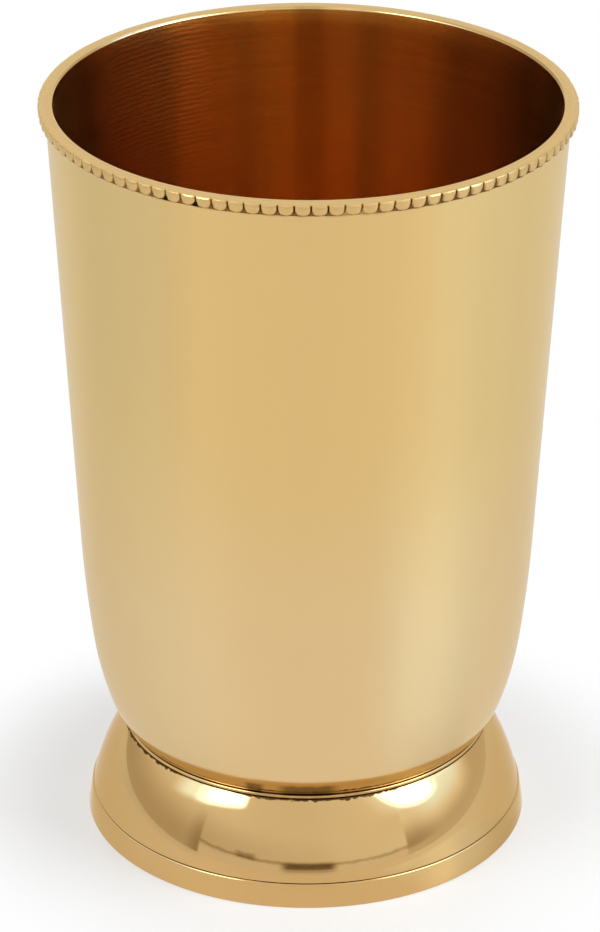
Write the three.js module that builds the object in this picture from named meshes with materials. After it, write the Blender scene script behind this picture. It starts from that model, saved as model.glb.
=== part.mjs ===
// A footed brass tumbler with a beaded lip: a turned bowl soldered to a hollow domed foot.
// Millimetres, +Z up. The origin is the centre of the face that the tumbler stands on.
import * as THREE from "three";

// Overall sizes.
const OVERALL_HEIGHT = 118.7;
const LIP_RADIUS = 40; // over the crowns of the beads
const BASE_RADIUS = 34.28; // at the table

// The bowl's outside from the lip down: a tapered wall, a gentle belly, a tuck and a tight neck round.
const WALL_TAPER = THREE.MathUtils.degToRad(3.37);
const BELLY_RISE = 16.6; // the height of the belly arc
const TUCK_START = THREE.MathUtils.degToRad(8); // the wall's lean where the tuck takes over
const TUCK_RISE = 10; // the height of the tuck arc
const TUCK_RADIUS = 49;
const NECK_ROUND_RISE = 4; // the height of the neck round, down to the bowl's lower edge
const NECK_ROUND_RADIUS = 13;

// The bowl's inside: a wall of even thickness above, a heavier round bottom below.
const WALL_THICKNESS = 1.22;
const FLOOR_RADIUS = 14; // the flat in the middle of the floor
const FLOOR_DROP = 3; // how far the floor lies below the top of the foot
const FLOOR_THICKNESS = 2.2;
const LIP_EDGE_RADIUS = 0.4;

// The beaded strip soldered round the lip.
const BEAD_COUNT = 104;
const BEAD_STRIP_HEIGHT = 1.9;
const BEAD_PROUD = 1; // from the wall to the crown of a bead
const BEAD_SEAT_DEPTH = 0.3; // the strip sits in a shallow rebate of the wall
const BEAD_GROOVE_DEPTH = 0.6;
const BEAD_SHOULDER = 0.27; // from a groove to the edge of the bead's face, in bead pitches
const BEAD_SHOULDER_DROP = 0.12; // how far the edge of the face lies behind its crown
const BEAD_END_HEIGHT = 1.1; // the round lower end of a bead
const BEAD_TOP_EDGE = 0.35;

// The neck, where a short register under the bowl drops into the foot through a thin collar.
const NECK_HEIGHT = 15.6; // the top of the foot
const COLLAR_HEIGHT = 0.6;
const COLLAR_PROUD = 0.1; // beyond the bowl's lower edge
const REGISTER_INSET = 2.1; // from the bowl's lower edge to the register
const REGISTER_LENGTH = 3.4;
const UNDERSIDE_CURVE = 7.9; // the width of the round edge under the bowl
const BRAZE_HEIGHT = 1.2;
const BRAZE_WIDTH = 0.75;

// The foot: a domed shell that stands on a tapered base ring, round the ring's spigot.
const FOOT_DOME_RADIUS = 34;
const FOOT_WALL = 1.3;
const FOOT_BORE_LENGTH = 1.6;
const BASE_RING_HEIGHT = 3.8; // of the side that shows
const BASE_RING_TAPER = 0.62; // how far the top of that side lies inside its bottom
const BASE_RING_LEDGE = 0.2; // the step that shows between the foot and the ring's side
const BASE_TOP_EDGE = 0.12;
const BASE_BOTTOM_EDGE = 0.15;
const SPIGOT_HEIGHT = 1.7;
const SPIGOT_WALL = 1;

// Every soldered seam is this wide.
const SOLDER_GAP = 0.1;

// Facets.
const TURNS = 60;
const ARC_STEPS = 4;
const DOME_STEPS = 7;
const FLOOR_STEPS = 10;
const EDGE_STEPS = 3;

const QUARTER = Math.PI / 2;
const point = (radius, height) => new THREE.Vector2(radius, height);

// A turning profile's arc round a centre, from one angle to another; angles run from +radius to +height.
function arc(centre, radius, from, to, steps) {
  const clockwise = to < from;
  return new THREE.ArcCurve(centre.x, centre.y, radius, from, to, clockwise).getPoints(steps);
}

// The centre of an arc that leaves a point of the bowl's outside, where the wall leans in by an angle.
function centreBehind(start, lean, radius) {
  return point(start.x - radius * Math.cos(lean), start.y + radius * Math.sin(lean));
}

// A solid of revolution about Z. The profile runs from the bottom up the outside and down the inside.
function turned(profile) {
  return new THREE.LatheGeometry(profile, TURNS).rotateX(QUARTER);
}

// The neck's heights, from the foot up: foot, seam, collar, seam, lower edge of the bowl.
const collarBottom = NECK_HEIGHT + SOLDER_GAP;
const collarTop = collarBottom + COLLAR_HEIGHT;
const shoulderHeight = collarTop + SOLDER_GAP;

// The bowl's outline from the lip down. Each arc leaves the one above it without a corner.
const wallLipRadius = LIP_RADIUS - BEAD_PROUD;
const neckRoundHeight = shoulderHeight + NECK_ROUND_RISE;
const tuckHeight = neckRoundHeight + TUCK_RISE;
const wallEndHeight = tuckHeight + BELLY_RISE;
const wallEnd = point(
  wallLipRadius - Math.tan(WALL_TAPER) * (OVERALL_HEIGHT - wallEndHeight),
  wallEndHeight,
);
const bellyRadius = BELLY_RISE / (Math.sin(TUCK_START) - Math.sin(WALL_TAPER));
const bellyCentre = centreBehind(wallEnd, WALL_TAPER, bellyRadius);
const tuckTop = point(bellyCentre.x + bellyRadius * Math.cos(TUCK_START), tuckHeight);
const tuckCentre = centreBehind(tuckTop, TUCK_START, TUCK_RADIUS);
const tuckEnd = Math.asin((tuckCentre.y - neckRoundHeight) / TUCK_RADIUS);
const neckRoundTop = point(tuckCentre.x + TUCK_RADIUS * Math.cos(tuckEnd), neckRoundHeight);
const neckRoundCentre = centreBehind(neckRoundTop, tuckEnd, NECK_ROUND_RADIUS);
const neckRoundEnd = Math.asin((neckRoundCentre.y - shoulderHeight) / NECK_ROUND_RADIUS);

// What the collar, the foot and the braze seat on.
const shoulderRadius = neckRoundCentre.x + NECK_ROUND_RADIUS * Math.cos(neckRoundEnd);
const registerRadius = shoulderRadius - REGISTER_INSET;
const seatBore = registerRadius + SOLDER_GAP;
const footBoreBottom = NECK_HEIGHT - FOOT_BORE_LENGTH;

// The foot's dome is the arc of a set radius through its top edge and its lower edge.
const footTop = point(shoulderRadius, NECK_HEIGHT);
const footBottom = point(
  BASE_RADIUS - BASE_RING_TAPER - BASE_RING_LEDGE,
  BASE_RING_HEIGHT + SOLDER_GAP,
);
const domeChord = footTop.clone().sub(footBottom);
const towardsCentre = point(-domeChord.y, domeChord.x).normalize();
const domeCentre = footBottom
  .clone()
  .addScaledVector(domeChord, 0.5)
  .addScaledVector(towardsCentre, Math.sqrt(FOOT_DOME_RADIUS ** 2 - domeChord.lengthSq() / 4));

// The straight seat in the foot's lower edge, which the base ring's spigot fills.
const domeInsideRadius = FOOT_DOME_RADIUS - FOOT_WALL;
const seatTopAngle = Math.asin((footBottom.y + SPIGOT_HEIGHT - domeCentre.y) / domeInsideRadius);
const spigotSeatRadius = domeCentre.x + domeInsideRadius * Math.cos(seatTopAngle);

// What the beaded strip seats on.
const beadSeatRadius = wallLipRadius - BEAD_SEAT_DEPTH;
const beadSeatHeight = OVERALL_HEIGHT - BEAD_STRIP_HEIGHT - SOLDER_GAP;

function makeBowl() {
  const floorHeight = NECK_HEIGHT - FLOOR_DROP;
  const underside = floorHeight - FLOOR_THICKNESS;
  const registerBottom = NECK_HEIGHT - REGISTER_LENGTH;
  const wallAtSeat = wallLipRadius - Math.tan(WALL_TAPER) * (OVERALL_HEIGHT - beadSeatHeight);
  const wallRun = WALL_THICKNESS / Math.cos(WALL_TAPER); // the wall's thickness along a radius
  const lipInside = wallLipRadius - wallRun;
  const lipEdgeRadius = Math.min(LIP_EDGE_RADIUS, beadSeatRadius - lipInside);
  const lipEdge = point(lipInside + lipEdgeRadius, OVERALL_HEIGHT - lipEdgeRadius);
  const insideEnd = point(wallEnd.x - wallRun, wallEndHeight);
  const insideCorner = point(
    insideEnd.x - Math.tan(WALL_TAPER) * (wallEndHeight - floorHeight),
    floorHeight,
  );
  const roundBottom = new THREE.QuadraticBezierCurve(
    insideEnd,
    insideCorner,
    point(FLOOR_RADIUS, floorHeight),
  );
  const undersideCurve = new THREE.QuadraticBezierCurve(
    point(registerRadius - UNDERSIDE_CURVE, underside),
    point(registerRadius, underside),
    point(registerRadius, registerBottom),
  );
  return turned([
    point(0, underside),
    ...undersideCurve.getPoints(ARC_STEPS),
    point(registerRadius, shoulderHeight),
    ...arc(neckRoundCentre, NECK_ROUND_RADIUS, -neckRoundEnd, -tuckEnd, ARC_STEPS),
    ...arc(tuckCentre, TUCK_RADIUS, -tuckEnd, -TUCK_START, ARC_STEPS).slice(1),
    ...arc(bellyCentre, bellyRadius, -TUCK_START, -WALL_TAPER, ARC_STEPS).slice(1),
    point(wallAtSeat, beadSeatHeight),
    point(beadSeatRadius, beadSeatHeight),
    point(beadSeatRadius, OVERALL_HEIGHT),
    ...arc(lipEdge, lipEdgeRadius, QUARTER, Math.PI, EDGE_STEPS),
    ...roundBottom.getPoints(FLOOR_STEPS),
    point(0, floorHeight),
  ]);
}

// The round lower end of a bead, which its strip's height limits.
const beadEndHeight = Math.min(BEAD_END_HEIGHT, BEAD_STRIP_HEIGHT - BEAD_TOP_EDGE);

// How far a bead's surface lies behind its crown at a level over the strip's lower edge:
// the lower end is a quarter ellipse and the top edge a quarter circle.
function beadSetback(level) {
  const below = Math.max(0, 1 - level / beadEndHeight);
  const above = Math.max(0, 1 - (BEAD_STRIP_HEIGHT - level) / BEAD_TOP_EDGE);
  const end = BEAD_GROOVE_DEPTH * (1 - Math.sqrt(1 - below ** 2));
  const edge = BEAD_TOP_EDGE * (1 - Math.sqrt(1 - above ** 2));
  return end + edge;
}

// The strip is turned with four meridians to a bead: a groove, a shoulder, the crown and a shoulder.
// The plain strip's outer points are then set back from the crown by the bead's own form.
function makeBeadedRim() {
  const inside = beadSeatRadius + SOLDER_GAP;
  const bottom = OVERALL_HEIGHT - BEAD_STRIP_HEIGHT;
  const levels = [
    0,
    beadEndHeight / 4,
    beadEndHeight,
    BEAD_STRIP_HEIGHT - BEAD_TOP_EDGE,
    BEAD_STRIP_HEIGHT,
  ];
  const face = levels.map((level) => point(LIP_RADIUS, bottom + level));
  const closing = point(inside, bottom);
  const strip = [closing, ...face, point(inside, OVERALL_HEIGHT), closing];
  const levelOf = new Map(face.map((place, step) => [place, levels[step]]));

  const meridians = [
    { pitch: 0, drop: BEAD_GROOVE_DEPTH, narrow: 0 },
    { pitch: BEAD_SHOULDER, drop: BEAD_SHOULDER_DROP, narrow: 1 },
    { pitch: 0.5, drop: 0, narrow: 0 },
    { pitch: 1 - BEAD_SHOULDER, drop: BEAD_SHOULDER_DROP, narrow: 1 },
  ];
  const turns = BEAD_COUNT * meridians.length;
  const beadAngle = (2 * Math.PI) / BEAD_COUNT;
  const lathe = new THREE.LatheGeometry(strip, turns);
  const places = lathe.getAttribute("position");
  for (let index = 0; index < places.count; index++) {
    const turn = Math.floor(index / strip.length) % turns;
    const profilePoint = strip[index % strip.length];
    const meridian = meridians[turn % meridians.length];
    const angle = (Math.floor(turn / meridians.length) + meridian.pitch) * beadAngle;
    let radius = profilePoint.x;
    if (levelOf.has(profilePoint)) {
      const level = levelOf.get(profilePoint);
      // A bead's shoulders draw together where its lower end rounds off.
      const roundedOff = meridian.narrow * Math.max(0, 1 - level / beadEndHeight);
      const sideways = THREE.MathUtils.lerp(meridian.drop, BEAD_GROOVE_DEPTH, roundedOff);
      radius -= Math.min(BEAD_GROOVE_DEPTH, sideways + beadSetback(level));
    }
    places.setXYZ(index, radius * Math.sin(angle), profilePoint.y, radius * Math.cos(angle));
  }
  return lathe.rotateX(QUARTER);
}

// A thin half-round ring that fills the seam between the bowl's lower edge and the foot.
function makeNeckCollar() {
  const edgeRadius = COLLAR_HEIGHT / 2;
  const edge = point(shoulderRadius + COLLAR_PROUD - edgeRadius, collarBottom + edgeRadius);
  const closing = point(seatBore, collarBottom);
  return turned([
    closing,
    ...arc(edge, edgeRadius, -QUARTER, QUARTER, ARC_STEPS),
    point(seatBore, collarTop),
    closing,
  ]);
}

// A domed shell. Its inside follows the dome, but leaves room for the braze under the bore.
function makeFoot() {
  const angleOf = (place) => Math.atan2(place.y - domeCentre.y, place.x - domeCentre.x);
  const insideTop = Math.asin((footBoreBottom - domeCentre.y) / domeInsideRadius);
  const brazeRoom = seatBore + BRAZE_WIDTH + SOLDER_GAP;
  const inside = arc(domeCentre, domeInsideRadius, insideTop, seatTopAngle, ARC_STEPS);
  const closing = point(spigotSeatRadius, footBottom.y);
  return turned([
    closing,
    ...arc(domeCentre, FOOT_DOME_RADIUS, angleOf(footBottom), angleOf(footTop), DOME_STEPS),
    point(seatBore, NECK_HEIGHT),
    point(seatBore, footBoreBottom),
    ...inside.map((place) => point(Math.max(place.x, brazeRoom), place.y)),
    closing,
  ]);
}

// A ring with a tapered side: its flat underside meets the table, and its spigot stands inside the foot.
function makeBaseRing() {
  const spigotRadius = spigotSeatRadius - SOLDER_GAP;
  const spigotTop = BASE_RING_HEIGHT + SPIGOT_HEIGHT;
  const inside = spigotRadius - SPIGOT_WALL;
  const bottomEdge = point(BASE_RADIUS - BASE_BOTTOM_EDGE, BASE_BOTTOM_EDGE);
  const topEdge = point(
    BASE_RADIUS - BASE_RING_TAPER - BASE_TOP_EDGE,
    BASE_RING_HEIGHT - BASE_TOP_EDGE,
  );
  const closing = point(inside, 0);
  return turned([
    closing,
    ...arc(bottomEdge, BASE_BOTTOM_EDGE, -QUARTER, 0, EDGE_STEPS),
    ...arc(topEdge, BASE_TOP_EDGE, 0, QUARTER, EDGE_STEPS),
    point(spigotRadius, BASE_RING_HEIGHT),
    point(spigotRadius, spigotTop),
    point(inside, spigotTop),
    closing,
  ]);
}

// The hidden fillet of brazing metal in the corner between the register and the foot's bore.
function makeNeckBraze() {
  const corner = point(seatBore, footBoreBottom - SOLDER_GAP);
  const lowest = point(corner.x, corner.y - BRAZE_HEIGHT);
  const widest = point(corner.x + BRAZE_WIDTH, corner.y);
  const slope = lowest.clone().lerp(widest, 0.5);
  const hollow = new THREE.QuadraticBezierCurve(lowest, slope.lerp(corner, 0.5), widest);
  return turned([...hollow.getPoints(EDGE_STEPS), corner, lowest]);
}

const satinBrass = { color: 0xd9b879, roughness: 0.34, metalness: 1 };
const polishedBrass = { color: 0xd2a968, roughness: 0.1, metalness: 1 };
const beadBrass = { color: 0xd7b574, roughness: 0.24, metalness: 1 };
const brazeMetal = { color: 0xb59a62, roughness: 0.5, metalness: 1 };

function piece(name, geometry, finish) {
  const mesh = new THREE.Mesh(geometry, new THREE.MeshStandardMaterial(finish));
  mesh.name = name;
  return mesh;
}

const tumbler = new THREE.Group();
tumbler.add(
  piece("bowl", makeBowl(), satinBrass),
  piece("beaded_rim", makeBeadedRim(), beadBrass),
  piece("neck_collar", makeNeckCollar(), polishedBrass),
  piece("foot", makeFoot(), polishedBrass),
  piece("base_ring", makeBaseRing(), polishedBrass),
  piece("neck_braze", makeNeckBraze(), brazeMetal),
);

export default tumbler;
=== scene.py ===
# %% [markdown]
# # A brass tumbler on a domed foot
# The tumbler is a turned cup with a row of beads round its lip, soldered to a hollow foot that stands on a
# flat ring. The CAD frame already has each piece at its true size, with plain facets. Here each piece is
# made again with smooth curves, rounded edges and a finish, and the frame says where everything sits.

import math

import bmesh
import bpy
from mathutils import Matrix, Vector


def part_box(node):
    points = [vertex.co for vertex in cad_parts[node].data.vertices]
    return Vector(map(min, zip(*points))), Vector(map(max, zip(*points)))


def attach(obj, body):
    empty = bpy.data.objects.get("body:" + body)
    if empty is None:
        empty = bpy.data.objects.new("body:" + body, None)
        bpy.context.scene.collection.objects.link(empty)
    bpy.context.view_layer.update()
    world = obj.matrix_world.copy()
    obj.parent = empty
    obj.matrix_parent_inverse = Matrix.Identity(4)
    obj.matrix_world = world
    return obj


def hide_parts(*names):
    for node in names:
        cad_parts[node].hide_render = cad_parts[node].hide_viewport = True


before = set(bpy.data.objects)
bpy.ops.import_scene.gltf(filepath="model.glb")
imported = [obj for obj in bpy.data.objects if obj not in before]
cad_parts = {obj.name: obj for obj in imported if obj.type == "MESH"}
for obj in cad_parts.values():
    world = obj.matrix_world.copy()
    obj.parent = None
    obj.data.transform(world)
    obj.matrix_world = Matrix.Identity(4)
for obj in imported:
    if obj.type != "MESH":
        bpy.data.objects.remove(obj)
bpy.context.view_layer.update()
print("CAD nodes:", sorted(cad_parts))

# %% [markdown]
# ## Sizes from the frame
# A turner measures the blank before cutting. The heights and radii that two pieces share are read from
# the CAD nodes, so the dressed pieces cannot drift away from the solids. Everything is in metres, as in
# the frame, and MM turns a drawing's millimetres into metres.

# %% Measure the CAD pieces
MM = 0.001


def height_span(node):
    """The lowest and the highest point of a CAD piece."""
    low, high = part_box(node)
    return low.z, high.z


def widest(node):
    """The largest radius of a CAD piece."""
    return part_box(node)[1].x


LIP_TOP = height_span("bowl")[1]
BEAD_BOTTOM = height_span("beaded_rim")[0]
BEAD_CROWN = round(widest("beaded_rim"), 4)
COLLAR_BOTTOM, COLLAR_TOP = height_span("neck_collar")
COLLAR_RADIUS = widest("neck_collar")
FOOT_BOTTOM, FOOT_TOP = height_span("foot")
BASE_RADIUS = widest("base_ring")
SPIGOT_TOP = height_span("base_ring")[1]
BRAZE_BOTTOM, BRAZE_TOP = height_span("neck_braze")
SEAM = 0.1 * MM
LEDGE = FOOT_BOTTOM - SEAM
print("lip", LIP_TOP, "beads", BEAD_BOTTOM, BEAD_CROWN, "collar", COLLAR_BOTTOM, COLLAR_TOP, COLLAR_RADIUS)
print("foot", FOOT_BOTTOM, FOOT_TOP, "base", BASE_RADIUS, LEDGE, "braze", BRAZE_BOTTOM, BRAZE_TOP)

# %% [markdown]
# ## Writing node trees as sums
# Materials and Geometry Nodes are both trees of nodes. Adding them one by one takes many lines, so one
# small class holds a socket: plus, minus, times and the like add Math nodes, and `node` adds any other
# node, sets it up and plugs its sockets. The same class serves both kinds of tree.


# %% The wire class
class Wire:
    """A socket in a node tree. Arithmetic on wires adds Math nodes to the tree."""

    def __init__(self, tree, socket=None):
        self.tree = tree
        self.socket = socket

    def node(self, kind, settings=None, sockets=None, output=0):
        made = self.tree.nodes.new(kind)
        for name, value in (settings or {}).items():
            setattr(made, name, value)
        for key, value in (sockets or {}).items():
            if isinstance(value, Wire):
                self.tree.links.new(value.socket, made.inputs[key])
            else:
                made.inputs[key].default_value = value
        if not made.outputs:
            return Wire(self.tree)
        return Wire(self.tree, made.outputs[output])

    def out(self, name):
        return Wire(self.tree, self.socket.node.outputs[name])

    def math(self, operation, first, second=0.0):
        return self.node("ShaderNodeMath", {"operation": operation}, {0: first, 1: second})

    def __add__(self, other):
        return self.math("ADD", self, other)

    def __radd__(self, other):
        return self.math("ADD", other, self)

    def __sub__(self, other):
        return self.math("SUBTRACT", self, other)

    def __rsub__(self, other):
        return self.math("SUBTRACT", other, self)

    def __mul__(self, other):
        return self.math("MULTIPLY", self, other)

    def __rmul__(self, other):
        return self.math("MULTIPLY", other, self)

    def __truediv__(self, other):
        return self.math("DIVIDE", self, other)

    def __rtruediv__(self, other):
        return self.math("DIVIDE", other, self)

    def __pow__(self, other):
        return self.math("POWER", self, other)

    def __rpow__(self, other):
        return self.math("POWER", other, self)


print("wires ready")

# %% [markdown]
# ## Words for a finish
# Every finish on this cup uses the same few ideas: a place on the surface, a soft step from one value to
# another, a soft spot, cloudy noise, and the fine lines that a turning tool or a polishing cloth leaves
# round the axis. The lines are noise that is stretched round the axis: it hardly changes along a circle and
# changes fast across it. A step, spot or cloud is a number from 0 to 1 over the surface, so it can mix one
# colour into another. All of it reads Object coordinates, because the pattern belongs to the metal.


# %% Shading helpers
def surface_place(paint):
    """The place on the piece, its three coordinates, and its distance from the axis."""
    place = paint.node("ShaderNodeTexCoord", output="Object")
    x = paint.node("ShaderNodeSeparateXYZ", sockets={0: place})
    y = x.out("Y")
    z = x.out("Z")
    radius = (x * x + y * y) ** 0.5
    return place, x, y, z, radius


def fade(value, low, high):
    """0 below low, 1 above high and a soft step between them; low may be the larger one."""
    ends = {"Value": value, "From Min": low, "From Max": high, "To Min": 0.0, "To Max": 1.0}
    return value.node("ShaderNodeMapRange", {"interpolation_type": "SMOOTHSTEP"}, ends)


def spot_at(value, middle, reach, core):
    """1 within the core distance of the middle, and a soft fall to 0 at the reach."""
    return fade(value.math("ABSOLUTE", value - middle), reach, core)


def cloud(paint, place, size, detail=2.0):
    sockets = {"Vector": place, "Scale": 1.0 / size, "Detail": detail}
    return paint.node("ShaderNodeTexNoise", sockets=sockets)


def turning_lines(paint, x, y, along, pitch, reach):
    """Noise in lines round the axis, a pitch apart; each keeps its look for about the reach."""
    stretched = paint.node("ShaderNodeCombineXYZ", sockets={0: x / reach, 1: y / reach, 2: along / pitch})
    return paint.node("ShaderNodeTexNoise", sockets={"Vector": stretched, "Scale": 1.0, "Detail": 3.0})


def tint(paint, amount, plain, changed):
    """Mixes two colours by an amount from 0 to 1."""
    sockets = {0: amount, 6: plain, 7: changed}
    settings = {"data_type": "RGBA", "clamp_factor": True}
    return paint.node("ShaderNodeMix", settings, sockets, output=2)


def inside_mark(paint):
    """1 on the inside of a piece, 0 outside, as its outline says."""
    return paint.node("ShaderNodeAttribute", {"attribute_name": "inner"}, output="Fac")


def new_finish(name):
    finish = bpy.data.materials.new(name)
    finish.use_nodes = True
    finish.node_tree.nodes.clear()
    return finish, Wire(finish.node_tree)


WHITE = (1.0, 1.0, 1.0, 1.0)
# A dark brown, used both for real tarnish and for painted shade.
TARNISH_AND_SHADE = (0.065, 0.03, 0.009, 1.0)


def close_finish(paint, colour, roughness, height, depth, rim=WHITE):
    """A metal with relief of a depth in metres. The rim colour tints it at a glancing angle."""
    relief = paint.node("ShaderNodeBump", sockets={"Strength": 1.0, "Distance": depth, "Height": height})
    sockets = {"Base Color": colour, "Metallic": 1.0, "Roughness": roughness, "Normal": relief}
    sockets["Specular Tint"] = rim
    metal = paint.node("ShaderNodeBsdfPrincipled", {"distribution": "MULTI_GGX"}, sockets)
    paint.node("ShaderNodeOutputMaterial", sockets={"Surface": metal})


print("shading helpers ready")

# %% [markdown]
# ## Satin brass for the cup
# The cup was turned and then buffed, so it is softly glossy: it takes a blurred picture of the white table
# in front of it. The buffing leaves faint cloudy patches and very fine lines round the axis. The lower half
# is painted paler, a painted sheen for the whiter look of its reflection. One long cell would be hard to
# follow, so the textures, the marks outside, the marks inside and the mixing are four cells. The lines
# follow the wall, not only its height, so that they run on over the flat bottom.

# %% Satin brass: textures
SATIN = (0.74, 0.545, 0.242, 1.0)
SATIN_PALE_SHEEN = (0.745, 0.571, 0.313, 1.0)
SATIN_DEEP = (0.645, 0.425, 0.165, 1.0)
SATIN_RIM = (0.95, 0.9, 0.8, 1.0)
SATIN_RELIEF = 0.006 * MM
FINE_PITCH = 0.34 * MM
FINE_REACH = 40 * MM
COARSE_PITCH = 0.9 * MM
COARSE_REACH = 120 * MM


def along_wall(z, radius):
    return z + 0.37 * radius


satin_brass, paint = new_finish("satin_brass")
place, x, y, z, radius = surface_place(paint)
inner = inside_mark(paint)
outer = 1 - inner
patches = cloud(paint, place, 22 * MM, 3.0)
ragged = cloud(paint, place, 1.6 * MM, 2.0)
fine = turning_lines(paint, x, y, along_wall(z, radius), FINE_PITCH, FINE_REACH)
coarse = turning_lines(paint, x, y, along_wall(z, radius), COARSE_PITCH, COARSE_REACH)
print("satin_brass textures:", len(satin_brass.node_tree.nodes), "nodes")

# %% [markdown]
# Outside, shade is painted into the colour: painted shade in the crease above the neck and, here and
# there, a painted shadow on the wall just below the beads. At the front, two dark spots over the neck are
# a painted reflection of the foot's dark marks. They end at the neck, because the same finish covers the
# underside, which the crease shade darkens all over.

# %% Satin brass: marks outside
CREASE_TOP = COLLAR_TOP + 0.95 * MM
CREASE_FULL = COLLAR_TOP + 0.2 * MM
REFLECTION_TOP = COLLAR_TOP + 2.9 * MM
REFLECTION_EDGE = 0.9 * MM

# Painted shade in the crease above the neck, which also darkens the whole underside.
crease = fade(z + 0.5 * MM * ragged, CREASE_TOP, CREASE_FULL) * outer
in_sight = fade(z, COLLAR_TOP - 0.1 * MM, COLLAR_TOP) * outer
# Painted reflection: two dark spots at the front over the neck, as the bowl would mirror the foot's dark
# marks.
painted_reflection_spots = spot_at(x, 0.3 * MM, 5.4 * MM, 2.8 * MM) + spot_at(x, -7.9 * MM, 1.9 * MM, 0.6 * MM)
reflection_top = REFLECTION_TOP - REFLECTION_EDGE * (ragged - 0.5)
painted_reflection = in_sight * painted_reflection_spots * fade(y, 0.0, -1 * MM) * fade(z - reflection_top, 0.0, -REFLECTION_EDGE)
# Painted shadow on the wall just below the beads.
shade_under_beads = fade(z + 0.4 * MM * ragged, BEAD_BOTTOM - 0.35 * MM, BEAD_BOTTOM + 0.25 * MM)
shade_under_beads = shade_under_beads * fade(z, BEAD_BOTTOM + 0.6 * MM, BEAD_BOTTOM + 0.3 * MM)
shade_under_beads = shade_under_beads * (0.3 + 0.7 * fade(ragged, 0.4, 0.6)) * outer
# All three outside marks are painted shade or a painted reflection, mixed towards the dark colour.
dirt_and_shade = 0.45 * crease + 0.7 * painted_reflection + 0.5 * shade_under_beads
print("satin_brass with marks outside:", len(satin_brass.node_tree.nodes), "nodes")

# %% [markdown]
# Inside, light bounces from wall to wall and takes the tint of the brass each time, so the cup glows
# red-brown and a small change of colour shows strongly. The far wall is the one in view. Painted highlights
# make upright streaks on it, and painted shade makes darker stripes between and beside them and darkens its
# sides. At the left are the uneven feed lines that the tool left, clearest near the lip, and their zone is
# painted lighter. Each streak is given by its strength and, in millimetres, the middle, the reach and the
# core of its soft spot. The `inner` attribute, which says what is inside, comes from the turned outline.

# %% Satin brass: marks inside
FEED_PITCH = 0.8 * MM
HIGHLIGHT_STREAKS = ((0.35, -9.8, 4.5, 2.0), (0.75, 5.6, 3.2, 1.2), (0.15, 13.5, 1.6, 0.5))

# Painted highlights: brighter upright streaks on the far inside wall.
far_wall = inner * fade(y, 0.0, 8 * MM)
highlight_streaks = 0.32 * fade(x, 4 * MM, 6 * MM) * fade(x, 20 * MM, 18 * MM)
for strength, middle, reach, core in HIGHLIGHT_STREAKS:
    highlight_streaks = highlight_streaks + strength * spot_at(x, middle * MM, reach * MM, core * MM)
highlight_streaks = far_wall * highlight_streaks * (0.5 + 0.5 * fade(z, 112 * MM, 92 * MM))

feed = paint.math("SINE", z * (math.tau / FEED_PITCH) + 3 * coarse + 7 * ragged)
feed = feed * (0.4 + 0.6 * fade(z, 92 * MM, 108 * MM)) * (0.6 + 0.4 * fade(patches, 0.35, 0.6))
lines = far_wall * fade(x, -13 * MM, -20 * MM) * fade(x, -34 * MM, -28 * MM)
# The feed lines are real; the lighter tint of their whole zone, stronger near the lip, is painted light.
lit_crests = lines * (0.72 + 0.2 * fade(z, 100 * MM, 112 * MM) + 0.36 * feed)

# Painted shade: a dark stripe in the middle of the far wall, its darker right and left sides, and the top
# near the middle.
stripes = 0.18 * spot_at(x, 0.1 * MM, 2.9 * MM, 1.3 * MM)
stripes = stripes + 0.08 * fade(x, 17.2 * MM, 19.2 * MM) + 0.32 * fade(x, 21 * MM, 37 * MM)
stripes = stripes + 0.16 * fade(x, -24 * MM, -30 * MM)
stripes = stripes + 0.1 * fade(x, -12 * MM, -4 * MM) * fade(z, 96 * MM, 112 * MM)
shade = far_wall * stripes + 0.1 * lines * (1 - feed)
print("satin_brass with marks inside:", len(satin_brass.node_tree.nodes), "nodes")

# %% [markdown]
# The marks are now mixed into the colour, one over the other: first the tint of the brass, with a paler
# lower half outside as a painted sheen and a deeper tint inside near the lip as painted shade, then the
# turning lines, the painted highlights and the painted light on the feed lines, and the painted shade, with
# the dark between the feed lines, and the painted dark marks last. These dark marks are rougher and the
# band above the neck was buffed smoother, so the roughness changes with them. The relief is a bump of a few
# thousandths of a millimetre, which is all that a fine tool leaves.

# %% Satin brass: mixed
SATIN_INSIDE = (0.742, 0.537, 0.28, 1.0)
SATIN_WIPED = (0.8, 0.57, 0.26, 1.0)
LIT_CREST = (0.92, 0.72, 0.42, 1.0)
STREAK_HIGHLIGHT = (0.93, 0.63, 0.3, 1.0)
PALE_TOP, PALE_FULL = 88 * MM, 42 * MM
BUFFED_TOP, BUFFED_FULL = 22 * MM, 18.5 * MM
LIP_EDGE, LIP_FULL = LIP_TOP - 0.3 * MM, LIP_TOP - 0.05 * MM

# The paler lower half outside is a painted sheen.
pale = tint(paint, fade(z + 12 * MM * patches, PALE_TOP, PALE_FULL), SATIN, SATIN_PALE_SHEEN)
pale = tint(paint, inner, pale, SATIN_INSIDE)
# Inside, the deeper, darker tint towards the lip is painted shade.
deep = inner * (0.1 + 0.9 * fade(z, 78 * MM, 113 * MM)) * (0.85 + 0.15 * fine)
lip = 0.8 * fade(z, LIP_EDGE, LIP_FULL) * outer
warm = tint(paint, 0.12 * patches + deep + lip, pale, SATIN_DEEP)
warm = tint(paint, 0.5 * inner * fade(fine, 0.42, 0.58), warm, SATIN_WIPED)
warm = tint(paint, lit_crests, warm, LIT_CREST)
warm = tint(paint, highlight_streaks, warm, STREAK_HIGHLIGHT)
warm = tint(paint, shade, warm, TARNISH_AND_SHADE)
colour = tint(paint, dirt_and_shade, warm, TARNISH_AND_SHADE)
buffed = fade(z, BUFFED_TOP, BUFFED_FULL) * in_sight
roughness = 0.245 + 0.03 * patches + 0.2 * dirt_and_shade - inner * 0.1 - 0.17 * buffed
height = fine * 0.2 + inner * (0.2 * fine + 0.9 * coarse)
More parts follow.
